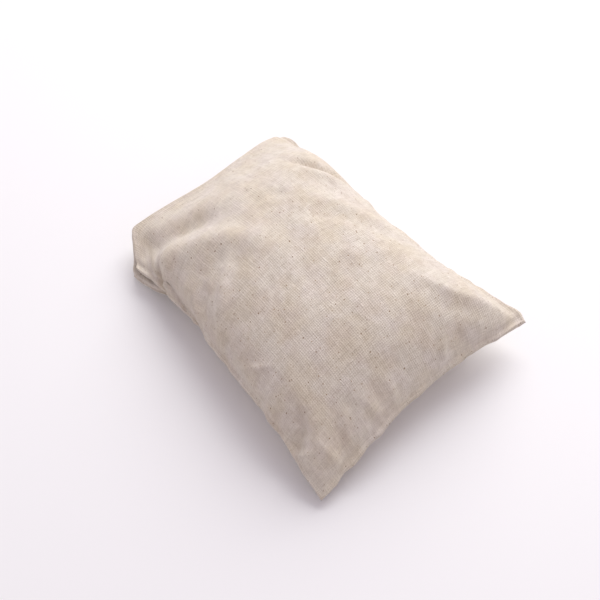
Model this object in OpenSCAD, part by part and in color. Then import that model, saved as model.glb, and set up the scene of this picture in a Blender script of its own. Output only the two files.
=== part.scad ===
// Small calico pouch, filled with dried herbs and sewn shut, lying on a table.
// +X runs from the mouth end to the far end, +Y from the near long side to the far long side,
// +Z is up, and the origin is on the table under the middle of the pouch.

/* [Pouch] */
// Length over the corner ears
pouch_len = 120; // [100:1:150]
// Width over the ears at the far end
far_end_w = 96; // [80:1:120]
// Width over the ears at the mouth end
mouth_end_w = 80; // [70:1:110]
// Height of the filled pouch above the table
pouch_h = 37; // [32:1:46]
// Thickness of one layer of calico
cloth_t = 0.6; // [0.4:0.1:0.8]
// How round the swell is near the seams, where less is rounder
fullness = 0.55; // [0.5:0.01:0.7]
// How deep the belly would hang if the table didn't press it flat
belly_sink = 4; // [2:0.5:6]

/* [Seams] */
// Height of the seam above the table along the sides
side_seam_h = 12; // [10:0.5:15]
// How far the middle of each long side draws in
side_draw = 4; // [0:0.5:6]
// How far the middle of the far end draws in
far_end_draw = 4; // [0:0.5:6]
// How far the middle of the mouth draws in
mouth_draw = 1; // [0:0.5:6]
// Width of the flat hem that closes the mouth
mouth_hem_w = 7; // [5:0.5:9]
// Height of the slot left open at the end of the near side's seam
slot_h = 0.8; // [0:0.1:1.2]

/* [Ears] */
// Height of the ear where the near side meets the mouth
near_mouth_ear_h = 12; // [4:1:16]
// Height of the ear where the far side meets the mouth
far_mouth_ear_h = 9; // [4:1:16]
// Height of the ear where the near side meets the far end
near_end_ear_h = 3; // [2:1:16]
// Height of the ear where the far side meets the far end
far_end_ear_h = 13; // [4:1:16]

/* [Stitching] */
// Diameter of the sewing thread
thread_d = 0.4; // [0.3:0.05:0.6]
// Length of one stitch
stitch_len = 2.6; // [2:0.1:4]
// Gap between one stitch and the next
stitch_gap = 0.6; // [0.4:0.1:1]

/* [Herbs] */
// Diameter of a ginger slice
ginger_d = 13; // [8:0.5:15]
// Diameter of a turmeric slice
turmeric_d = 8; // [5:0.5:9]
// Length of a lemongrass cut
lemongrass_len = 13; // [8:0.5:15]
// Length of a dried lime leaf
leaf_len = 16; // [10:0.5:18]
// Radius that a strip of lime peel curls to
peel_r = 7; // [5:0.5:8]

/* [Hidden] */

calico = [0.88, 0.83, 0.76];
thread = [0.93, 0.90, 0.84];
along = 30;           // cells of the cloth from the mouth to the far end
across = 24;          // cells of the cloth from side to side
ear_sharpness = 4;    // how close to its corner an ear starts to rise or droop
half_len = pouch_len/2;
hem_t = 2*cloth_t;    // each panel's mouth edge is folded in once
fill_inset = 3;       // from the outside of the cloth to the herbs
fill_start = -0.8;    // how far the herbs reach towards the mouth, the far end and the sides
fill_end = 0.9;
fill_side = 0.88;
pocket_gap = 0.3;     // room round each larger piece in the chopped herbs
thread_inset = cloth_t + thread_d;
slot_start = -0.985;  // where the slot begins and ends, as fractions of half the length
slot_end = -0.8;
golden_angle = 137.5;

// ---- The shape of the pouch, in u from mouth (-1) to far end (1) and v from near (-1) to far side (1)

function mix(a, b, t) = a + (b - a)*t;

function half_width(u) = mix(mouth_end_w, far_end_w, (u + 1)/2)/2 - side_draw*(1 - u*u);

function end_draw(u) = u < 0 ? mouth_draw : far_end_draw;

function ear_height(u, v) =
    u < 0 ? (v < 0 ? near_mouth_ear_h : far_mouth_ear_h)
          : (v < 0 ? near_end_ear_h : far_end_ear_h);

// Height of the surface in which the two panels meet
function seam_height(u, v) = mix(side_seam_h, ear_height(u, v), pow(abs(u*v), ear_sharpness));

// The mouth's hem stays flat, so the swell starts behind it
function behind_hem(u) = u < 0 ? max(u/(1 - mouth_hem_w/half_len), -1) : u;

function swell(u, v) = pow(max((1 - pow(behind_hem(u), 2))*(1 - v*v), 0), fullness);

function hem_part(u) = u < 0 ? min((1 + u)*half_len/mouth_hem_w, 1) : 1;

function hem_thickness(u) = mix(hem_t, 0, pow(hem_part(u), 3));

function slot_rise(u, v) =
    (u < slot_start || u > slot_end || v > 0) ? 0
    : slot_h*sin(180*(u - slot_start)/(slot_end - slot_start))*pow(-v, 12);

function place(u, v, inset, z) =
    [u*(half_len - inset - end_draw(u)*(1 - v*v)), v*(half_width(u) - inset), z];

function top_point(u, v, inset, layer) =
    place(u, v, inset, seam_height(u, v) + slot_rise(u, v) + layer*hem_thickness(u)
        + (pouch_h - side_seam_h - inset)*swell(u, v));

function bottom_point(u, v, inset, layer) =
    place(u, v, inset, seam_height(u, v) - layer*hem_thickness(u)
        - (side_seam_h + belly_sink - inset)*swell(u, v));

function above_table(p, h) = [p[0], p[1], max(p[2], h)];

// ---- A closed solid between an upper and a lower grid of points

function spread(i, n) = sin(90*(2*i/n - 1));

function cell_triangles(i, j, start, up) =
    let (a = start + i*(across + 1) + j, b = a + across + 1, c = b + 1, d = a + 1)
    up ? [[a, d, c], [a, c, b]] : [[a, b, c], [a, c, d]];

function rim_loop() = concat(
    [for (i = [0:along - 1]) i*(across + 1)],
    [for (j = [0:across - 1]) along*(across + 1) + j],
    [for (i = [along:-1:1]) i*(across + 1) + across],
    [for (j = [across:-1:1]) j]
);

module between(upper, lower) {
    below = len(upper);
    rim = rim_loop();
    faces = concat(
        [for (i = [0:along - 1], j = [0:across - 1], t = cell_triangles(i, j, 0, true)) t],
        [for (i = [0:along - 1], j = [0:across - 1], t = cell_triangles(i, j, below, false)) t],
        [for (k = [0:len(rim) - 1])
            let (p = rim[k], q = rim[(k + 1) % len(rim)])
            each [[p, q, q + below], [p, q + below, p + below]]]
    );
    polyhedron(points = concat(upper, lower), faces = faces, convexity = 6);
}

function top_grid(inset, layer = 0, from_u = -1, to_u = 1, to_v = 1) =
    [for (i = [0:along], j = [0:across])
        let (u = mix(from_u, to_u, (spread(i, along) + 1)/2), v = to_v*spread(j, across))
        top_point(u, v, inset, layer)];

function bottom_grid(inset, floor_h, layer = 0, from_u = -1, to_u = 1, to_v = 1) =
    [for (i = [0:along], j = [0:across])
        let (u = mix(from_u, to_u, (spread(i, along) + 1)/2), v = to_v*spread(j, across))
        above_table(bottom_point(u, v, inset, layer), floor_h)];

// ---- The calico

module top_panel() {
    color(calico) between(top_grid(0, 1), top_grid(cloth_t));
}

// The table presses the belly into one flat resting face
module bottom_panel() {
    color(calico) difference() {
        between(bottom_grid(cloth_t, cloth_t), bottom_grid(0, -belly_sink, 1));
        translate([-pouch_len, -pouch_len, -pouch_h]) cube([2*pouch_len, 2*pouch_len, pouch_h]);
    }
}

// ---- The stitching

// One straight stitch between two points
module stitch(p, q) {
    run = q - p;
    translate(p)
        rotate([0, acos(run[2]/norm(run)), atan2(run[1], run[0])])
            cylinder(h = norm(run), d = thread_d, $fn = 16);
}

// Stitches along a path of points, where each takes the first part of its step
module stitch_row(path) {
    share = stitch_len/(stitch_len + stitch_gap);
    for (k = [0:len(path) - 2]) stitch(path[k], mix(path[k], path[k + 1], share));
}

function steps(length) = floor(length/(stitch_len + stitch_gap));

function side_path(side) =
    let (n = steps(0.94*pouch_len))
    [for (k = [0:n]) let (u = mix(-0.94, 0.94, k/n))
        place(u, side, thread_inset, seam_height(u, side) + slot_rise(u, side)/2)];

function far_end_path() =
    let (n = steps(0.92*far_end_w))
    [for (k = [0:n]) let (v = mix(-0.92, 0.92, k/n))
        place(1, v, thread_inset, seam_height(1, v))];

// The mouth's row lies on the hem's outside, above for side 1 and below for side -1
function mouth_path(side) =
    let (n = steps(0.9*mouth_end_w), u = -1 + 0.45*mouth_hem_w/half_len,
        off = hem_thickness(u) + 0.8*thread_d)
    [for (k = [0:n]) let (v = mix(-0.9, 0.9, k/n))
        place(u, v, 0, seam_height(u, v) + side*off)];

module near_side_stitches() {
    color(thread) stitch_row(side_path(-1));
}

module far_side_stitches() {
    color(thread) stitch_row(side_path(1));
}

module far_end_stitches() {
    color(thread) stitch_row(far_end_path());
}

module mouth_stitches() {
    color(thread) {
        stitch_row(mouth_path(1));
        stitch_row(mouth_path(-1));
    }
}

// ---- The herbs: larger pieces in layers, and chopped herbs packed round them

// Copies of a piece, spread over part of the pouch at one height, each turned its own way
module scatter(count, reach, height, tilt, first_angle) {
    for (k = [0:count - 1]) {
        angle = first_angle + k*golden_angle;
        share = reach*sqrt((k + 0.5)/count);
        translate([share*half_len*cos(angle), share*far_end_w/2*sin(angle), height])
            rotate([tilt*sin(3*angle), tilt*cos(2*angle), 2*angle]) children();
    }
}

module disc(d, t, grow) {
    cylinder(h = t + 2*grow, d = d + 2*grow, center = true, $fn = 48);
}

// A root slice: a round heart with two smaller knobs
module root_slice(d, t, grow) {
    disc(0.7*d, t, grow);
    for (side = [-1, 1])
        translate([side*0.25*d, side*0.08*d, 0]) disc(0.5*d, t, grow);
}

module ginger_slices(grow = 0) {
    color([0.80, 0.68, 0.42]) scatter(8, 0.66, 16.5, 8, 20) root_slice(ginger_d, 2.4, grow);
}

module turmeric_slices(grow = 0) {
    color([0.85, 0.52, 0.12]) scatter(11, 0.6, 22, 8, 75) root_slice(turmeric_d, 2, grow);
}

module lemongrass_cuts(grow = 0) {
    color([0.74, 0.75, 0.52])
        scatter(9, 0.62, 10.5, 6, 50)
            rotate([0, 90, 0])
                cylinder(h = lemongrass_len + 2*grow, d = 4 + 2*grow, center = true, $fn = 32);
}

module lime_peel_strips(grow = 0) {
    color([0.45, 0.50, 0.22])
        scatter(6, 0.42, 27, 4, 10)
            translate([-peel_r, 0, -1.5])
                rotate([0, 0, -40 - 4*grow])
                    rotate_extrude(angle = 80 + 8*grow, $fn = 64)
                        translate([peel_r - grow, -grow]) square([1.2 + 2*grow, 3 + 2*grow]);
}

// A leaf is the lens where two round plates cross
module lime_leaves(grow = 0) {
    bow = leaf_len;
    color([0.42, 0.46, 0.26])
        scatter(8, 0.56, 5.8, 3, 100)
            intersection_for(side = [-1, 1])
                translate([0, side*0.88*bow, 0])
                    cylinder(h = 0.8 + 2*grow, r = bow + grow, center = true, $fn = 96);
}

module chopped_herb_fill() {
    color([0.50, 0.45, 0.28]) difference() {
        between(top_grid(fill_inset, 0, fill_start, fill_end, fill_side),
            bottom_grid(fill_inset, fill_inset, 0, fill_start, fill_end, fill_side));
        ginger_slices(pocket_gap);
        turmeric_slices(pocket_gap);
        lemongrass_cuts(pocket_gap);
        lime_peel_strips(pocket_gap);
        lime_leaves(pocket_gap);
    }
}

top_panel();
bottom_panel();
near_side_stitches();
far_side_stitches();
far_end_stitches();
mouth_stitches();
chopped_herb_fill();
ginger_slices();
turmeric_slices();
lemongrass_cuts();
lime_peel_strips();
lime_leaves();
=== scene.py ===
import math

import bpy
import numpy as np
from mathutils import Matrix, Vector


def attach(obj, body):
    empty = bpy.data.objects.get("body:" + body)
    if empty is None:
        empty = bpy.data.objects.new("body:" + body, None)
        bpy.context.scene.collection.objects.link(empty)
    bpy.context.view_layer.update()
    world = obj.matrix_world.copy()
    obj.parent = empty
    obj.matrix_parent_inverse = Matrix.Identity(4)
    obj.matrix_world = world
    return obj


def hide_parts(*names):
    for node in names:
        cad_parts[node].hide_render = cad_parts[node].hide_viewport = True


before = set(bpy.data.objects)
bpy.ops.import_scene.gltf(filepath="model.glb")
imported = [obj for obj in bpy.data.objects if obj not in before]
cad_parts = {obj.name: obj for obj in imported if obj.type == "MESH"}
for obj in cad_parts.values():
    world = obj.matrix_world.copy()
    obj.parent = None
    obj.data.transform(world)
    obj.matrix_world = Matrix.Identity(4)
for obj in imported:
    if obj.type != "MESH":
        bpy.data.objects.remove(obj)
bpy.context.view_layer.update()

MM = 0.001

# ---- The pouch's cloth and its seams -------------------------------------------------
# Cloth coordinates run from the mouth to the far end (s) and from the near to the far side (t).

CUT_LENGTH = 132 * MM          # flat size between the seams
CUT_WIDTH_MOUTH = 98 * MM
CUT_WIDTH_END = 104 * MM
NEAR_TUCK = 8 * MM             # length that is tucked in where the near side meets the mouth
HEM = 7 * MM                   # width of the flat hem that closes the mouth
CLOTH = 0.45 * MM              # thickness of one layer of calico
PLUMPNESS = 0.55               # the lower, the flatter the middle and the steeper the sides

# Each seam's route: share of the way along its cloth, then x, y, z in millimetres.
NEAR_SIDE = [
    (0.000, -48.3, -33.9, 6.5), (0.035, -45, -33.8, 6.5), (0.080, -40, -33.3, 7.2),
    (0.130, -34.5, -33.8, 8.3), (0.190, -27.5, -34.6, 9.7), (0.270, -19, -34.8, 11),
    (0.370, -9, -36.4, 11.6), (0.480, 3, -38.8, 12), (0.600, 16, -40.5, 12.2),
    (0.740, 32, -42.8, 11.4), (0.860, 46, -45.2, 8), (1.000, 60, -47.3, 2.5),
]
FAR_SIDE = [
    (0.00, -57.6, 44.6, 6), (0.04, -53.8, 45.0, 8), (0.10, -47, 43.6, 10.5),
    (0.20, -35.5, 42.3, 12), (0.37, -14, 42, 12.5), (0.53, 6, 41.5, 12.5), (0.68, 25, 42, 13),
    (0.80, 39, 43.5, 13.5), (0.90, 50.5, 46, 13.5), (0.96, 57.6, 47.4, 13.5), (1.00, 62.2, 46.2, 12.8),
]
MOUTH = [
    (0.000, -48.3, -33.9, 6.5), (0.055, -52.5, -31.2, 8), (0.110, -57.3, -28, 10),
    (0.155, -60.7, -25.2, 10.9), (0.190, -60.4, -21.5, 11.6), (0.300, -59.6, -12, 12),
    (0.500, -57.5, 6, 12.5), (0.700, -58.2, 23, 11.5), (0.900, -59.4, 38.5, 8.5),
    (0.960, -59.2, 42.4, 7), (1.000, -57.6, 44.6, 6),
]
FAR_END = [
    (0.00, 60, -47.3, 2.5), (0.12, 59.6, -37, 5.5), (0.27, 58.5, -23, 10), (0.47, 57.5, -3.5, 12.5),
    (0.68, 57.5, 17, 13.5), (0.83, 59.5, 30.5, 13.5), (0.94, 61.3, 40.5, 12.8), (1.00, 62.2, 46.2, 12.8),
]


def along_route(route, share):
    """Points on a smooth curve through a seam's route, for an array of shares of its cloth."""
    knots = np.array([r[0] for r in route], float)
    points = np.array([r[1:] for r in route], float) * MM
    slopes = np.gradient(points, knots, axis=0)
    k = np.clip(np.searchsorted(knots, share, side="right") - 1, 0, len(knots) - 2)
    step = (knots[k + 1] - knots[k])[:, None]
    u = ((share - knots[k]) / (knots[k + 1] - knots[k]))[:, None]
    return (
        (2 * u**3 - 3 * u**2 + 1) * points[k]
        + (u**3 - 2 * u**2 + u) * step * slopes[k]
        + (3 * u**2 - 2 * u**3) * points[k + 1]
        + (u**3 - u**2) * step * slopes[k + 1]
    )


def seam_surface(s, t):
    """The surface stretched between the four seams, on a grid of cloth coordinates."""
    near, far = along_route(NEAR_SIDE, s)[:, None], along_route(FAR_SIDE, s)[:, None]
    mouth, end = along_route(MOUTH, t)[None], along_route(FAR_END, t)[None]
    a, b = s[:, None, None], t[None, :, None]
    corners = (
        (1 - a) * (1 - b) * near[0, 0] + a * (1 - b) * near[-1, 0]
        + (1 - a) * b * far[0, 0] + a * b * far[-1, 0]
    )
    return (1 - b) * near + b * far + (1 - a) * mouth + a * end - corners


def flat_cloth(s, t):
    """Where the cloth lay before it was filled, in metres."""
    width = CUT_WIDTH_MOUTH + (CUT_WIDTH_END - CUT_WIDTH_MOUTH) * s[:, None]
    tuck = NEAR_TUCK * (1 - t[None]) * (1 - s[:, None])
    x = (s[:, None] - 0.5) * CUT_LENGTH + tuck
    y = (t[None] - 0.5) * width
    return np.stack([x, y], axis=-1)


def swell(s, t):
    """How far the filling pushes the cloth out: 0 at the seams and on the hem, 1 in the middle."""
    hem = HEM / CUT_LENGTH
    u = np.clip((s - hem) / (1 - hem), 0, 1)
    return (16 * (u * (1 - u))[:, None] * (t * (1 - t))[None]) ** PLUMPNESS


# ---- The filled shape, by cloth simulation -------------------------------------------

CELLS_ALONG, CELLS_ACROSS = 84, 66
SIM_SCALE = 10                 # Blender's cloth behaves better on a bigger piece
SIM_FRAMES = 50
DRAW_IN_FRAMES = 24            # the seams draw in from the flat cloth to their routes
SEAM_HEIGHT = 12 * MM          # of the flat cloth above the table
CROWN, BELLY = 22 * MM, 13 * MM    # first guess at the swelling above and below the seams
HEM_RISE = 1.2 * CLOTH         # each panel's distance from the middle of the hem
FLOOR_GAP = 0.4 * MM           # least height of the bottom panel in that guess
PANEL_GAP = 0.4 * MM           # half the space between the two flat panels
JITTER = 0.02 * MM             # unevenness of the flat cloth, from which wrinkles can grow


def rough_shape(s, t):
    """A first guess at the two panels of the filled pouch."""
    base, out = seam_surface(s, t), swell(s, t)
    top, bottom = base.copy(), base.copy()
    hem_rise = HEM_RISE * np.ones_like(out)
    hem_rise[[0, -1]] = 0
    hem_rise[:, [0, -1]] = 0
    top[..., 2] += CROWN * out + hem_rise
    bottom[..., 2] = np.maximum(bottom[..., 2] - BELLY * out - hem_rise, FLOOR_GAP)
    return top, bottom


def bag_layout(rows, columns):
    """Vertex numbers of the two panels, which share their rim, and the quads between them."""
    top = np.arange(rows * columns).reshape(rows, columns)
    bottom = top.copy()
    inner = (rows - 2) * (columns - 2)
    bottom[1:-1, 1:-1] = rows * columns + np.arange(inner).reshape(rows - 2, columns - 2)
    quads = []
    for ids, flip in ((top, False), (bottom, True)):
        a, b, c, d = ids[:-1, :-1], ids[1:, :-1], ids[1:, 1:], ids[:-1, 1:]
        order = (a, d, c, b) if flip else (a, b, c, d)
        quads.append(np.stack([q.ravel() for q in order], axis=1))
    return top, bottom, np.concatenate(quads)


def simulate(top, bottom, s, t):
    """Fills the sewn pouch: the seams and hem are held, and pressure stands in for the herbs."""
    ids_top, ids_bottom, quads = bag_layout(len(s), len(t))
    count = ids_bottom.max() + 1
    flat, filled = np.zeros((count, 3)), np.zeros((count, 3))
    gap = PANEL_GAP * swell(s, t)
    for ids, shape, side in ((ids_bottom, bottom, -1), (ids_top, top, 1)):
        filled[ids.ravel()] = shape.reshape(-1, 3)
        flat[ids.ravel(), :2] = flat_cloth(s, t).reshape(-1, 2)
        flat[ids.ravel(), 2] = SEAM_HEIGHT + side * gap.ravel()
    flat += np.random.default_rng(7).normal(0, JITTER, flat.shape)
    held = np.zeros((len(s), len(t)), bool)
    held[[0, -1]] = True
    held[:, [0, -1]] = True
    held[s * CUT_LENGTH < HEM] = True
    pins = np.unique(np.concatenate([ids_top[held], ids_bottom[held]]))

    mesh = bpy.data.meshes.new("sim")
    mesh.from_pydata((flat * SIM_SCALE).tolist(), [], quads.tolist())
    bag = bpy.data.objects.new("sim", mesh)
    bpy.context.collection.objects.link(bag)
    bag.shape_key_add(name="flat")
    key = bag.shape_key_add(name="filled")
    key.data.foreach_set("co", (filled * SIM_SCALE).ravel())
    for step, share in ((1, 0.0), (DRAW_IN_FRAMES, 1.0)):
        key.value = share
        key.keyframe_insert("value", frame=step)
    group = bag.vertex_groups.new(name="held")
    group.add(pins.tolist(), 1.0, "REPLACE")

    bpy.ops.mesh.primitive_plane_add(size=4)
    table = bpy.context.object
    table.modifiers.new("collision", "COLLISION")
    table.collision.thickness_outer = 0.002

    cloth = bag.modifiers.new("cloth", "CLOTH")
    setting = cloth.settings
    setting.quality = 8
    setting.mass = 0.3
    setting.tension_stiffness = setting.compression_stiffness = 60
    setting.shear_stiffness = 20
    setting.bending_stiffness = 4
    setting.air_damping = 3
    setting.use_pressure = True
    setting.uniform_pressure_force = 250
    setting.vertex_group_mass = group.name
    setting.effector_weights.gravity = 0.0
    cloth.collision_settings.distance_min = 0.002
    cloth.point_cache.frame_end = SIM_FRAMES
    for step in range(1, SIM_FRAMES + 1):
        bpy.context.scene.frame_set(step)
    settled = bag.evaluated_get(bpy.context.evaluated_depsgraph_get()).to_mesh()
    co = np.empty(count * 3)
    settled.vertices.foreach_get("co", co)
    co = co.reshape(-1, 3) / SIM_SCALE
    bpy.data.objects.remove(bag)
    bpy.data.objects.remove(table)
    bpy.context.scene.frame_set(1)
    return co[ids_top], co[ids_bottom]


s_grid = np.linspace(0, 1, CELLS_ALONG + 1)
t_grid = np.linspace(0, 1, CELLS_ACROSS + 1)
top_shape, bottom_shape = rough_shape(s_grid, t_grid)
top_shape, bottom_shape = simulate(top_shape, bottom_shape, s_grid, t_grid)


# ---- Finished cloth ------------------------------------------------------------------
# The simulated grid becomes two closed sheets of calico. Lengths on the cloth are in
# millimetres: u runs from the mouth, v from the near side.

RIM_STEPS = (0, 0.22, 0.45, 0.75, 1.1, 1.5, 2.0, 2.6)    # the fine grid's lines beside each rim
FINE_STEP = 0.8                                          # and between its other lines


def smooth_weights(count, share):
    """Catmull-Rom weights of evenly spaced samples, at each share of the way along them."""
    place = share * (count - 1)
    k = np.clip(place.astype(int), 0, count - 2)
    u = place - k
    weights = np.zeros((len(share), count + 2))
    row = np.arange(len(share))
    weights[row, k] = -0.5 * u**3 + u**2 - 0.5 * u
    weights[row, k + 1] = 1.5 * u**3 - 2.5 * u**2 + 1
    weights[row, k + 2] = -1.5 * u**3 + 2 * u**2 + 0.5 * u
    weights[row, k + 3] = 0.5 * u**3 - 0.5 * u**2
    for end, inner, next_in in ((0, 1, 2), (-1, -2, -3)):
        weights[:, inner] += 2 * weights[:, end]
        weights[:, next_in] -= weights[:, end]
    return weights[:, 1:-1]


def resample(values, s, t):
    """Reads a grid of points at finer cloth coordinates, with smooth curves between."""
    rows = smooth_weights(values.shape[0], s)
    columns = smooth_weights(values.shape[1], t)
    return np.einsum("ik,klc,jl->ijc", rows, values, columns)


def graded(length):
    """Shares of a length in millimetres: close together at both rims, even in between."""
    rim = np.array(RIM_STEPS)
    count = int((length - 2 * rim[-1]) / FINE_STEP)
    middle = np.linspace(rim[-1], length - rim[-1], count)
    return np.concatenate([rim[:-1], middle, (length - rim[:-1])[::-1]]) / length


def relax(grid, rounds):
    """Smooths a grid of points or of amounts, and leaves its rim as it is."""
    grid = grid.copy()
    for _ in range(rounds):
        around = grid[:-2, 1:-1] + grid[2:, 1:-1] + grid[1:-1, :-2] + grid[1:-1, 2:]
        grid[1:-1, 1:-1] = 0.5 * grid[1:-1, 1:-1] + 0.125 * around
    return grid


def normals(points):
    """Unit normals of a grid of points, upward for the top panel."""
    along = np.gradient(points, axis=0)
    across = np.gradient(points, axis=1)
    out = np.cross(along, across)
    return out / np.linalg.norm(out, axis=-1, keepdims=True)


def lumps(u, v, size, seed):
    """Smooth random hills between -1 and 1, about one every size millimetres."""
    cells = np.random.default_rng(seed).uniform(-1, 1, (128, 128))
    a, b = u / size + 8, v / size + 8
    i, j = np.floor(a).astype(int), np.floor(b).astype(int)
    p, q = a - i, b - j
    p, q = p * p * (3 - 2 * p), q * q * (3 - 2 * q)
    low = cells[i, j] * (1 - p) + cells[i + 1, j] * p
    high = cells[i, j + 1] * (1 - p) + cells[i + 1, j + 1] * p
    return low * (1 - q) + high * q


def rounded(distance, radius):
    """The profile of a round edge: 0 at the rim, 1 from one radius inwards."""
    inward = np.clip(distance / radius, 0, 1)
    return np.sqrt(1 - (1 - inward) ** 2)


def crease(u, v, height, width, points):
    """A ridge, or a valley where height is negative, along a line of points on the cloth."""
    points = np.array(points, float)
    nearest, strength = np.full(u.shape, 1e9), np.zeros(u.shape)
    legs = np.linalg.norm(np.diff(points, axis=0), axis=1)
    passed = np.concatenate([[0], np.cumsum(legs)])
    for k, leg in enumerate(legs):
        step = (points[k + 1] - points[k]) / leg
        along = np.clip((u - points[k, 0]) * step[0] + (v - points[k, 1]) * step[1], 0, leg)
        gap = np.hypot(u - points[k, 0] - along * step[0], v - points[k, 1] - along * step[1])
        share = (passed[k] + along) / passed[-1]
        closer = gap < nearest
        nearest = np.where(closer, gap, nearest)
        strength = np.where(closer, np.sin(math.pi * np.clip(share, 0.02, 0.98)) ** 0.6, strength)
    return height * strength * np.exp(-((nearest / width) ** 2))


CUT_MM = CUT_LENGTH / MM
s_fine, t_fine = graded(CUT_MM), graded(CUT_WIDTH_END / MM)
u_fine = s_fine[:, None] * CUT_MM + 0 * t_fine[None]
width_fine = (CUT_WIDTH_MOUTH + (CUT_WIDTH_END - CUT_WIDTH_MOUTH) * s_fine[:, None]) / MM
v_fine = t_fine[None] * width_fine
to_mouth, to_end = u_fine, CUT_MM - u_fine
to_near, to_far = v_fine, width_fine - v_fine
to_seam = np.minimum(np.minimum(to_near, to_far), to_end)
to_rim = np.minimum(to_seam, to_mouth)

LIP = 0.5                      # how far each hemmed edge stands from the middle of the mouth
OPENING = 11                   # length of the gap in the near side's seam, from the mouth
OPENING_LIFT = 0.3             # how far that gap lifts the top panel's rim
CORNER = 17                    # how far from the mouth and the near side the corner hangs down

# Folds of the top panel: height and half width, then points (u, v), all in millimetres.
TOP_FOLDS = [
    # the ridge from the near corner of the mouth to the middle, and the hollow on its mouth side
    (2.2, 5.3, [(9, 1), (13, 5), (20, 11), (26, 18), (31, 25), (37, 33), (46, 40), (58, 45)]),
    (-3.5, 4.8, [(3, 5), (8, 10), (13, 16), (16, 24), (21, 32), (28, 40)]),
    # the pleat at the near corner
    (-2.4, 2.1, [(21, 12), (19, 8), (17, 4), (14, 0)]),
    (1.3, 1.4, [(27, 15), (25, 10), (22, 5), (18, 1)]),
    # the hollows behind the ridge, and the fold that turns down to the near side
    (-0.7, 3.4, [(39, 17), (44, 22), (46, 32)]),
    (-1.4, 3.2, [(43, 19), (48, 14), (54, 7)]),
    (1.3, 2.4, [(46, 33), (50, 27), (56, 19), (61, 11), (64, 5)]),
    (0.5, 0.9, [(41, 15), (44, 11), (47, 6)]),
    (-0.8, 2.2, [(37, 56), (41, 62)]),
    # the crease across the far corner of the mouth
    (-2.7, 1.9, [(26, 75), (31, 78), (37, 81), (43, 85), (48, 90)]),
    (1.1, 2.6, [(34, 73), (38, 76), (44, 80), (50, 82)]),
    # long folds beside the far side
    (0.9, 2.8, [(48, 66), (53, 70), (60, 75), (70, 81), (79, 86)]),
    (-0.5, 2.8, [(52, 60), (57, 64), (63, 69), (70, 75), (77, 80)]),
    (0.4, 5.0, [(72, 54), (78, 62), (83, 72), (86, 82)]),
    # the ear at the far end of the far side: its crest and the face below
    (1.0, 4.6, [(92, 70), (101, 76), (109, 82), (116, 88), (122, 94), (128, 99)]),
    (0.6, 1.6, [(96, 73), (104, 77), (110, 81), (115, 87), (121, 93), (127, 98)]),
    (-0.3, 2.4, [(106, 70), (113, 77), (120, 85), (127, 93)]),
    (-0.8, 2.0, [(119, 74), (124, 75), (129, 73)]),
    (0.8, 1.3, [(119, 69), (124, 66), (130, 65)]),
    # puckers along the far end
    (0.5, 1.5, [(117, 43), (124, 43), (131, 42)]),
    (-0.5, 1.7, [(113, 38), (120, 38), (128, 38)]),
    (0.5, 1.4, [(115, 32), (121, 34), (128, 35)]),
    (-0.4, 1.6, [(122, 31), (127, 32), (131, 32)]),
    (-0.5, 2.4, [(112, 28), (118, 28)]),
    # the near corner of the far end: a dent, the line below it, and a broad ridge
    (-2.7, 2.7, [(103, 14), (109, 10), (111, 5), (109, 0)]),
    (1.5, 1.3, [(111, 0), (114, 3), (118, 8)]),
    (0.8, 1.4, [(101, 1), (105, 2), (108, 1)]),
    (1.2, 2.2, [(115, 12), (121, 12), (127, 13), (131, 13)]),
    (-0.6, 2.0, [(118, 21), (123, 19), (129, 18)]),
    # a short crease up from the near side
    (0.7, 1.1, [(75, 4), (82, 11), (88, 17)]),
]


def close_to(distance, reach):
    """1 where the distance is 0, and almost 0 from twice the reach on."""
    return np.exp(-((distance / reach) ** 2))


def herb_lumps(seed):
    """The uneven filling felt through the cloth: four sets of lumps, from broad to small."""
    broad = 0.45 * lumps(u_fine, v_fine, 17, seed) + 0.25 * lumps(v_fine, u_fine, 9.5, seed + 1)
    slanted = u_fine + 3 * v_fine / 7
    small = 0.16 * lumps(slanted, v_fine, 5.2, seed + 2) + 0.07 * lumps(u_fine, v_fine, 2.8, seed + 3)
    return (1 - close_to(to_rim, 9)) * (broad + small)


def fold_relief():
    """The folds of the top panel, which fade where the cloth is sewn."""
    folds = sum(crease(u_fine, v_fine, height, width, points) for height, width, points in TOP_FOLDS)
    return folds * (1 - close_to(to_rim, 2.2))


def seam_relief(seed):
    """The rolled edge that the seam allowance makes, and the small gathers across it."""
    along = np.where(to_seam == to_end, v_fine, u_fine)
    gathers = lumps(along, 0 * along + seed, 3.1, seed) + 0.6 * lumps(along, 0 * along, 6.3, seed + 1)
    roll = 0.5 * close_to(to_seam - 0.9, 0.7) - 0.35 * close_to(to_seam - 2.8, 1.1)
    inward = to_seam / 2.4
    return roll + 0.22 * gathers * inward * np.exp(1 - inward) * (to_mouth > 0)


def uneven_seams():
    """The small wander of the sewn edges in metres, the same for both panels."""
    def wander(along, seed):
        return 0.5 * lumps(along, 0 * along, 6.5, seed) + 0.22 * lumps(along, 0 * along, 2.9, seed + 1)

    off_the_ends = np.clip(to_mouth / 20, 0, 1) * (1 - close_to(to_end, 8))
    off_the_sides = (1 - close_to(to_near, 8)) * (1 - close_to(to_far, 8))
    near = wander(u_fine, 61) * close_to(to_near, 3.5) * off_the_ends
    far = wander(u_fine, 71) * close_to(to_far, 3.5) * off_the_ends
    end = wander(v_fine, 81) * close_to(to_end, 3.5) * off_the_sides
    return np.stack([end, far - near, 0.4 * (near + far + end)], -1) * MM


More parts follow.
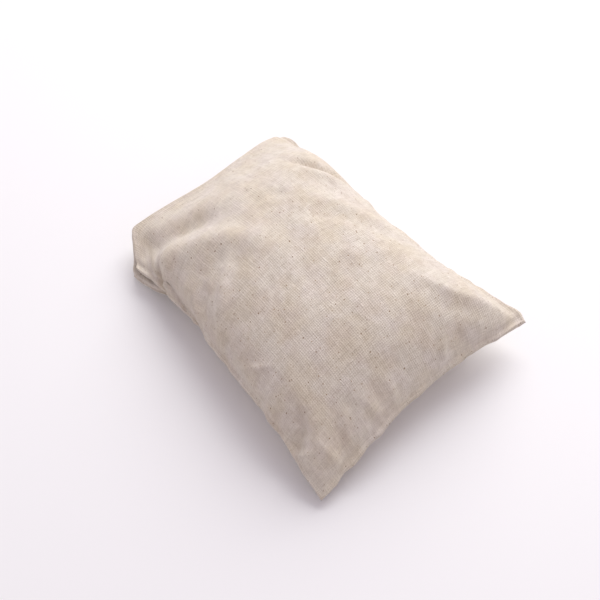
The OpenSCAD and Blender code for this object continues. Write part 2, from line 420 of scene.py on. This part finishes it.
def hanging_corner():
    """How the bottom panel hangs open below the gap at the near end of the mouth, in metres."""
    beside_mouth, beside_near_side = (np.exp(-((way / CORNER) ** 4)) for way in (to_mouth, to_near))
    depth = beside_mouth * beside_near_side * (3.6 + 0.9 * (1 - close_to(to_rim, 2.5)))
    out_x = -1.3 * close_to(to_mouth, 6) * beside_near_side
    out_y = -1.5 * close_to(to_near, 6) * beside_mouth
    return np.stack([out_x, out_y, -depth], -1) * MM


def opened(distance):
    """Share by which the two rims stand apart, from the rim inwards over one cell."""
    return np.clip(1 - distance / (CUT_MM / CELLS_ALONG), 0, 1)


def finished(coarse, side, relief):
    """Outer and inner surface of one panel; side is 1 for the top panel and -1 for the bottom."""
    middle = resample(coarse, s_fine, t_fine) + uneven_seams()
    out = side * normals(middle)
    mouth_lift = LIP * opened(to_mouth) * np.clip(to_far / 4, 0, 1)
    gap_lift = OPENING_LIFT * np.clip(1 - to_mouth / OPENING, 0, 1) ** 0.5 * opened(to_near)
    middle = middle + (np.maximum(mouth_lift, gap_lift) + relief)[..., None] * out * MM
    half = CLOTH / 2
    outer = middle + (half * rounded(to_rim, 0.5))[..., None] * out
    inner = middle - (half * rounded(to_rim, 1.2))[..., None] * out
    return outer, inner


# A few rounds take the saw-tooth out of sharp creases. Many ease the gathers beside the far
# side, and make the underside tuck in below its seams.
CREASE_ROUNDS, GATHER_ROUNDS, UNDERSIDE_ROUNDS = 6, 100, 150
GATHER_REACH = 11 * MM

eased = relax(top_shape, GATHER_ROUNDS)
beside_far_side = close_to((1 - t_grid) * CUT_WIDTH_END, GATHER_REACH)[None, :, None]
top_shape = relax(top_shape, CREASE_ROUNDS)
top_shape += (eased - top_shape) * beside_far_side
bottom_shape = relax(bottom_shape, UNDERSIDE_ROUNDS)
top_outer, top_inner = finished(top_shape, 1, fold_relief() + herb_lumps(11) + seam_relief(21))
bottom_outer, bottom_inner = finished(bottom_shape, -1, herb_lumps(31) + seam_relief(41))
bottom_outer += hanging_corner()
bottom_inner += hanging_corner()

# Where the panels cross, they are moved apart. Both the way and the amount are smoothed, so
# that no dent shows, and a little crossing is left in the corners.
PARTING_ROUNDS, WAY_ROUNDS, AMOUNT_ROUNDS = 6, 40, 30

for _ in range(PARTING_ROUNDS):
    upward = relax(normals(top_inner) + normals(bottom_inner), WAY_ROUNDS)
    upward /= np.linalg.norm(upward, axis=-1, keepdims=True)
    crossed = np.maximum(((bottom_inner - top_inner) * upward).sum(axis=-1), 0)
    push = relax(crossed, AMOUNT_ROUNDS)[..., None] * upward
    top_outer, top_inner = top_outer + push, top_inner + push
    bottom_outer, bottom_inner = bottom_outer - push, bottom_inner - push

# The bottom panel rests flat on the floor.
sunk = np.maximum(-bottom_outer[..., 2], 0)
bottom_outer[..., 2] += sunk
bottom_inner[..., 2] += sunk


def closed_sheet(name, outer, inner, where, flip=False):
    """A solid between two grids with one rim; where is each point's place on the cloth."""
    rows, columns = outer.shape[:2]
    ids_outer, ids_inner, quads = bag_layout(rows, columns)
    points = np.zeros((ids_inner.max() + 1, 3))
    points[ids_inner.ravel()] = inner.reshape(-1, 3)
    points[ids_outer.ravel()] = outer.reshape(-1, 3)
    cloth_at = np.zeros((len(points), 2))
    cloth_at[ids_inner.ravel()] = where.reshape(-1, 2)
    cloth_at[ids_outer.ravel()] = where.reshape(-1, 2)
    if flip:
        quads = quads[:, ::-1]
    mesh = bpy.data.meshes.new(name)
    mesh.from_pydata(points.tolist(), [], quads.tolist())
    mesh.shade_smooth()
    layer = mesh.uv_layers.new(name="cloth")
    layer.uv.foreach_set("vector", cloth_at[quads.ravel()].ravel())
    piece = bpy.data.objects.new(name, mesh)
    bpy.context.collection.objects.link(piece)
    return piece


# ---- Thread --------------------------------------------------------------------------

STITCH, STITCH_GAP = 2.6, 0.6  # millimetres
THREAD = 0.36                  # its diameter
SUNK = 0.25                    # depth of a stitch's ends below its row
ROW_END = 2.5                  # from the end of a row to its first stitch
SIDES, RINGS = 8, 9            # of one stitch's mesh


def point_at(path, lengths, where):
    """Points along a path whose own points lie at the given lengths."""
    return np.stack([np.interp(where, lengths, path[:, k]) for k in range(3)], -1)


def unit(vectors):
    return vectors / np.linalg.norm(vectors, axis=1, keepdims=True)


def stitch_row(name, rows):
    """Rows of stitches as one mesh: for each, a path, its ways out of the cloth, and a bow."""
    verts, faces = [], []
    share = np.linspace(0, 1, RINGS)
    turns = 2 * math.pi * np.arange(SIDES) / SIDES
    for path, outward, bow in rows:
        lengths = np.concatenate([[0], np.cumsum(np.linalg.norm(np.diff(path, axis=0), axis=1))]) / MM
        for start in np.arange(ROW_END, lengths[-1] - ROW_END, STITCH + STITCH_GAP):
            out = unit(point_at(outward, lengths, start + STITCH * share))
            rise = bow * (1 - (2 * share - 1) ** 4) - SUNK
            middle = point_at(path, lengths, start + STITCH * share) + out * (rise * MM)[:, None]
            ahead = unit(np.gradient(middle, axis=0))
            across = np.cross(ahead, out)
            over = np.cross(across, ahead)
            radius = THREAD / 2 * MM * rounded(np.minimum(share, 1 - share) * STITCH + 0.02, 0.3)
            first = len(verts)
            for k in range(RINGS):
                for turn in turns:
                    spoke = math.cos(turn) * across[k] + math.sin(turn) * over[k]
                    verts.append(middle[k] + radius[k] * spoke)
            for k in range(RINGS - 1):
                for side in range(SIDES):
                    a, b = first + k * SIDES + side, first + k * SIDES + (side + 1) % SIDES
                    faces.append((a, b, b + SIDES, a + SIDES))
            faces.append(tuple(range(first + SIDES - 1, first - 1, -1)))
            last = first + (RINGS - 1) * SIDES
            faces.append(tuple(range(last, last + SIDES)))
    mesh = bpy.data.meshes.new(name)
    mesh.from_pydata([tuple(p) for p in verts], [], faces)
    mesh.shade_smooth()
    piece = bpy.data.objects.new(name, mesh)
    bpy.context.collection.objects.link(piece)
    return piece


# ---- Materials -----------------------------------------------------------------------


class Material:
    """A node material, built by naming each node's kind, its settings and what feeds it."""

    def __init__(self, name, **shader_values):
        self.data = bpy.data.materials.new(name)
        self.data.use_nodes = True
        self.tree = self.data.node_tree
        self.shader = self.tree.nodes["Principled BSDF"]
        for key, value in shader_values.items():
            self.shader.inputs[key.replace("_", " ")].default_value = value

    def node(self, kind, inputs, output=0, **settings):
        made = self.tree.nodes.new("ShaderNode" + kind)
        for key, value in settings.items():
            setattr(made, key, value)
        for key, value in inputs.items():
            self.feed(made.inputs[key], value)
        return made.outputs[output]

    def feed(self, socket, value):
        if isinstance(value, bpy.types.NodeSocket):
            self.tree.links.new(value, socket)
        else:
            socket.default_value = value

    def math(self, operation, *values):
        return self.node("Math", dict(enumerate(values)), operation=operation)

    def scaled(self, vector, scale):
        return self.node("VectorMath", {0: vector, 1: scale}, operation="MULTIPLY")

    def noise(self, vector, scale, detail=2.0, output="Fac"):
        inputs = {"Vector": vector, "Scale": scale, "Detail": detail}
        return self.node("TexNoise", inputs, output=output)

    def ramp(self, value, low, high):
        """0 where value is below low, 1 above high, smooth between; low may be the larger."""
        inputs = {"Value": value, "From Min": low, "From Max": high}
        return self.node("MapRange", inputs, interpolation_type="SMOOTHSTEP")

    def mix(self, share, first, second, blend="MIX"):
        inputs = {0: share, 6: first, 7: second}
        return self.node("Mix", inputs, output=2, data_type="RGBA", blend_type=blend)

    def finish(self, colour, roughness, height, distance):
        self.feed(self.shader.inputs["Base Color"], colour)
        self.feed(self.shader.inputs["Roughness"], roughness)
        bump = self.node("Bump", {"Height": height, "Distance": distance, "Strength": 1.0})
        self.feed(self.shader.inputs["Normal"], bump)
        return self.data


def calico():
    """Unbleached calico: an uneven plain weave with slubs and bits of seed husk."""
    yarn = 0.75    # millimetres from thread to thread
    m = Material("calico", Sheen_Weight=0.25, Sheen_Roughness=0.6, Specular_IOR_Level=0.25)
    cloth = m.node("UVMap", {}, uv_map="cloth")
    wander = m.noise(cloth, 0.11, 5.0, "Color")
    wander = m.node("VectorMath", {0: wander, 1: (0.5, 0.5, 0.5)}, operation="SUBTRACT")
    place = m.node("VectorMath", {0: m.scaled(wander, (1.6, 1.6, 0)), 1: cloth}, operation="ADD")
    parts = m.tree.nodes.new("ShaderNodeSeparateXYZ")
    m.feed(parts.inputs[0], place)
    waves = [m.math("SINE", m.math("MULTIPLY", parts.outputs[k], math.pi / yarn)) for k in (0, 1)]
    over_under = m.math("MULTIPLY", *waves)
    crown = m.math("POWER", m.math("ABSOLUTE", over_under), 0.6)

    # each thread has its own thickness and shade, which change slowly along it
    thread = m.math("ADD", *(
        m.noise(m.scaled(place, scale), 1.0, 1.0) for scale in ((1.33, 0.16, 1), (0.16, 1.33, 1))
    ))
    slub = m.math("ADD", *(
        m.ramp(m.noise(m.scaled(place, scale), 1.0, 0.0), 0.68, 0.8)
        for scale in ((1.6, 0.28, 1), (0.28, 1.6, 1))
    ))
    fuzz = m.noise(cloth, 2.6, 4.0)
    tone = m.math("MULTIPLY_ADD", crown, 0.14, m.math("MULTIPLY", thread, 0.34))
    tone = m.math("MULTIPLY_ADD", slub, 0.14, tone)
    tone = m.math("MULTIPLY_ADD", fuzz, 0.72, tone)
    colour = m.mix(m.ramp(tone, 0.36, 1.16), (0.56, 0.498, 0.404, 1), (0.87, 0.803, 0.696, 1))

    # clouds of a slightly different shade: the noise, where it starts and ends, and the shade
    for cloud, low, high, shade in (
        (m.noise(cloth, 0.085, 3.0), 0.35, 0.7, (0.95, 0.92, 0.86, 1)),
        (m.noise(cloth, 0.36, 3.0), 0.38, 0.66, (0.93, 0.92, 0.91, 1)),
        (m.noise(cloth, 0.12, 2.0), 0.42, 0.62, (0.985, 0.975, 1.0, 1)),
    ):
        colour = m.mix(m.ramp(cloud, low, high), colour, m.mix(1.0, colour, shade, "MULTIPLY"))

    # seed husks, one to each cell of a pattern and most of them very small: the size of a cell
    # and the largest husk's radius in millimetres, and the husks' colour
    bend = m.scaled(m.noise(cloth, 1.9, 2.0, "Color"), (0.5, 0.5, 0))
    bent = m.node("VectorMath", {0: bend, 1: cloth}, operation="ADD")
    for cell, largest, husk in ((6.0, 0.32, (0.21, 0.105, 0.038, 1)), (3.0, 0.25, (0.32, 0.19, 0.09, 1))):
        cells = m.tree.nodes.new("ShaderNodeTexVoronoi")
        cells.voronoi_dimensions = "2D"
        cells.inputs["Scale"].default_value = 1 / cell
        m.feed(cells.inputs["Vector"], bent)
        chance = m.node("SeparateColor", {0: cells.outputs["Color"]})
        radius = m.math("MULTIPLY", m.math("POWER", chance, 0.9), largest / cell)
        inside = m.math("SUBTRACT", radius, cells.outputs["Distance"])
        colour = m.mix(m.math("MULTIPLY", m.ramp(inside, 0.0, 0.10 / cell), 0.85), colour, husk)

    height = m.math("MULTIPLY_ADD", thread, 0.35, m.math("MULTIPLY", crown, 0.6))
    height = m.math("MULTIPLY_ADD", slub, 0.5, height)
    height = m.math("MULTIPLY_ADD", fuzz, 0.35, height)
    roughness = m.ramp(tone, 2.0, -1.5)
    return m.finish(colour, m.math("MULTIPLY_ADD", roughness, 0.3, 0.72), height, 0.16 * MM)


def thread_material():
    """Undyed cotton thread with its twist."""
    m = Material("thread", Sheen_Weight=0.2, Specular_IOR_Level=0.3)
    at = m.node("TexCoord", {}, output="Object")
    twist = m.node("TexWave", {"Vector": at, "Scale": 900.0, "Distortion": 1.5}, wave_type="BANDS",
                   bands_direction="DIAGONAL")
    colour = m.mix(twist, (0.52, 0.43, 0.35, 1), (0.76, 0.68, 0.59, 1))
    return m.finish(colour, m.math("MULTIPLY_ADD", twist, 0.1, 0.8), twist, 0.05 * MM)


def plant(name, dark, light, grain, stretch=(1, 1, 1), speck=None):
    """Dried plant matter, mottled in grains of a size in millimetres, stretched along its fibres."""
    m = Material(name)
    at = m.node("TexCoord", {}, output="Object")
    at = m.scaled(at, tuple(1 / (grain * MM * k) for k in stretch))
    broad = m.noise(at, 0.4, 3.0)
    fine = m.noise(at, 2.0, 5.0)
    mottle = m.math("MULTIPLY_ADD", fine, 0.5, m.math("MULTIPLY", broad, 0.5))
    colour = m.mix(m.ramp(mottle, 0.32, 0.68), dark, light)
    if speck:
        colour = m.mix(m.math("MULTIPLY", m.ramp(m.noise(at, 3.1, 1.0), 0.62, 0.7), 0.7), colour, speck)
    return m.finish(colour, m.math("MULTIPLY_ADD", fine, 0.2, 0.65), fine, 0.25 * grain * MM)


# ---- Pieces --------------------------------------------------------------------------


def dress(piece, material, slot, *nodes):
    """Gives a piece its material, its body and the CAD nodes it stands in for. The slot is not used."""
    piece.data.materials.append(material)
    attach(piece, "root")
    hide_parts(*nodes)


cloth_material = calico()
sewing_thread = thread_material()
cloth_place = np.stack([u_fine, v_fine], -1)
top = closed_sheet("top_cloth", top_outer, top_inner, cloth_place)
bottom = closed_sheet("bottom_cloth", bottom_outer, bottom_inner, cloth_place, flip=True)
for piece, node in ((top, "top_panel"), (bottom, "bottom_panel")):
    dress(piece, cloth_material, "calico", node)

# Seam stitches lie in the groove where the panels meet, and the mouth's lie on both faces of
# its hem. They start clear of the gap at the mouth's near end.
SIDE_STITCHES_FROM, HEM_STITCHES_FROM = OPENING + 8, OPENING + 3
HEM_STITCH_INSET = 2.6
SEAM_BOW, HEM_BOW = 0.2, 0.14
centre = np.array([0, 0, 15 * MM])
closed_rows = u_fine[:, 0] > SIDE_STITCHES_FROM
closed_columns = v_fine[0] > HEM_STITCHES_FROM
SEAMS = {
    "near_side": (top_outer[closed_rows, 0] + bottom_outer[closed_rows, 0]) / 2,
    "far_side": (top_outer[:, -1] + bottom_outer[:, -1]) / 2,
    "far_end": (top_outer[-1] + bottom_outer[-1]) / 2,
}
for name, path in SEAMS.items():
    away = (path - centre) * (1, 1, 0.2)
    row = stitch_row(name + "_thread", [(path, away, SEAM_BOW)])
    dress(row, sewing_thread, "thread", name + "_stitches")
hem_row = int(np.argmin(abs(u_fine[:, 0] - HEM_STITCH_INSET)))
hem_rows = [
    (face[hem_row, closed_columns], side * normals(face)[hem_row, closed_columns], HEM_BOW)
    for face, side in ((top_outer, 1), (bottom_outer, -1))
]
dress(stitch_row("mouth_thread", hem_rows), sewing_thread, "thread", "mouth_stitches")

# The filling takes the shape of the inside of the pouch, a little clear of the cloth.
HERB_CLEARANCE = 0.9
HERB_INSET = 7                 # from the seams, and from the hem
HERB_ROUND = 4                 # radius of its edge
SMALL_CHIP, BIG_CHIP = 0.30, 0.25
THINNEST = 0.05                # least share of the space between the panels
rows = np.flatnonzero((u_fine[:, 0] > HEM / MM + HERB_INSET) & (to_end[:, 0] > HERB_INSET))
columns = np.flatnonzero((to_near[-1] > HERB_INSET) & (to_far[-1] > HERB_INSET))
inside = np.ix_(rows, columns)
u_fill, v_fill = u_fine[inside], v_fine[inside]
fill_rim = np.minimum(
    np.minimum(u_fill - u_fill[0, 0], u_fill[-1, 0] - u_fill),
    np.minimum(v_fill - v_fill[:, :1], v_fill[:, -1:] - v_fill),
)
chips = SMALL_CHIP * lumps(u_fill, v_fill, 1.9, 51) + BIG_CHIP * lumps(v_fill, u_fill, 3.3, 52)
core = (top_inner[inside] + bottom_inner[inside]) / 2
half_gap = (top_inner[inside] - bottom_inner[inside]) / 2
half_height = np.linalg.norm(half_gap, axis=-1) / MM
bare = HERB_CLEARANCE + SMALL_CHIP + BIG_CHIP + chips
kept = np.clip(1 - bare / half_height, THINNEST, 1) * rounded(fill_rim, HERB_ROUND)
fill_faces = [core + side * half_gap * kept[..., None] for side in (1, -1)]
herbs = closed_sheet("herb_mix", *fill_faces, cloth_place[inside])
chopped = plant(
    "chopped_herbs", (0.075, 0.062, 0.028, 1), (0.24, 0.22, 0.085, 1), grain=1.6,
    speck=(0.40, 0.31, 0.15, 1),
)
dress(herbs, chopped, "chopped_herbs", "chopped_herb_fill")

# The larger pieces of herb are sealed in the pouch. They keep the CAD's solids.
PLANTS = {
    "ginger_slices": plant(
        "ginger", (0.50, 0.36, 0.14, 1), (0.74, 0.61, 0.33, 1), grain=1.2, stretch=(1, 1, 3),
        speck=(0.30, 0.19, 0.08, 1),
    ),
    "turmeric_slices": plant(
        "turmeric", (0.52, 0.18, 0.012, 1), (0.82, 0.36, 0.03, 1), grain=1.0, stretch=(1, 1, 2),
        speck=(0.26, 0.09, 0.01, 1),
    ),
    "lemongrass_cuts": plant(
        "lemongrass", (0.36, 0.36, 0.15, 1), (0.68, 0.64, 0.36, 1), grain=0.5, stretch=(8, 8, 1),
    ),
    "lime_peel_strips": plant(
        "lime_peel", (0.035, 0.085, 0.012, 1), (0.14, 0.22, 0.035, 1), grain=0.7,
        speck=(0.26, 0.30, 0.08, 1),
    ),
    "lime_leaves": plant(
        "lime_leaf", (0.022, 0.055, 0.016, 1), (0.085, 0.14, 0.04, 1), grain=1.5,
        speck=(0.16, 0.17, 0.06, 1),
    ),
}
for node, material in PLANTS.items():
    made = bpy.data.objects[node]
    made.data.materials.clear()
    made.data.materials.append(material)

# ---- Floor, light and camera ---------------------------------------------------------

FLOOR_SIZE = 6
bpy.ops.mesh.primitive_plane_add(size=FLOOR_SIZE)
floor = bpy.context.object
floor.name = "floor"
paper = bpy.data.materials.new("paper")
paper.use_nodes = True
paper.node_tree.nodes["Principled BSDF"].inputs["Base Color"].default_value = (0.9, 0.9, 0.9, 1)
floor.data.materials.append(paper)

world = bpy.data.worlds.new("studio")
bpy.context.scene.world = world
world.use_nodes = True
world.node_tree.nodes["Background"].inputs["Color"].default_value = (1, 0.908, 0.985, 1)
world.node_tree.nodes["Background"].inputs["Strength"].default_value = 0.575


def area_light(name, place, aim, size, power):
    """A square light of a size in metres and a power in watts."""
    data = bpy.data.lights.new(name, "AREA")
    data.size = size
    data.energy = power
    light = bpy.data.objects.new(name, data)
    light.location = place
    light.rotation_mode = "QUATERNION"
    light.rotation_quaternion = (Vector(aim) - Vector(place)).to_track_quat("-Z", "Y")
    bpy.context.collection.objects.link(light)


# behind and above the pouch, so that its near faces are in shade and its shadow falls forward
area_light("softbox", place=(-0.44, 0.84, 0.74), aim=(0, 0, 0), size=1.1, power=14.9)

CAMERA_AZIMUTH, CAMERA_ELEVATION = math.radians(47), math.radians(56)
CAMERA_DISTANCE = 0.55
VIEW_WIDTH = 0.212             # metres across the picture, at the pouch
AIM = Vector((-0.0032, 0.0022, 0))
camera = bpy.data.objects.new("camera", bpy.data.cameras.new("camera"))
bpy.context.collection.objects.link(camera)
back = Vector((
    math.sin(CAMERA_AZIMUTH) * math.cos(CAMERA_ELEVATION),
    -math.cos(CAMERA_AZIMUTH) * math.cos(CAMERA_ELEVATION),
    math.sin(CAMERA_ELEVATION),
))
camera.location = AIM + back * CAMERA_DISTANCE
camera.rotation_mode = "QUATERNION"
camera.rotation_quaternion = (-back).to_track_quat("-Z", "Y")
camera.data.sensor_width = 36
camera.data.lens = camera.data.sensor_width * CAMERA_DISTANCE / VIEW_WIDTH
camera.data.clip_start = 0.01
bpy.context.scene.camera = camera
bpy.context.scene.view_settings.view_transform = "Standard"
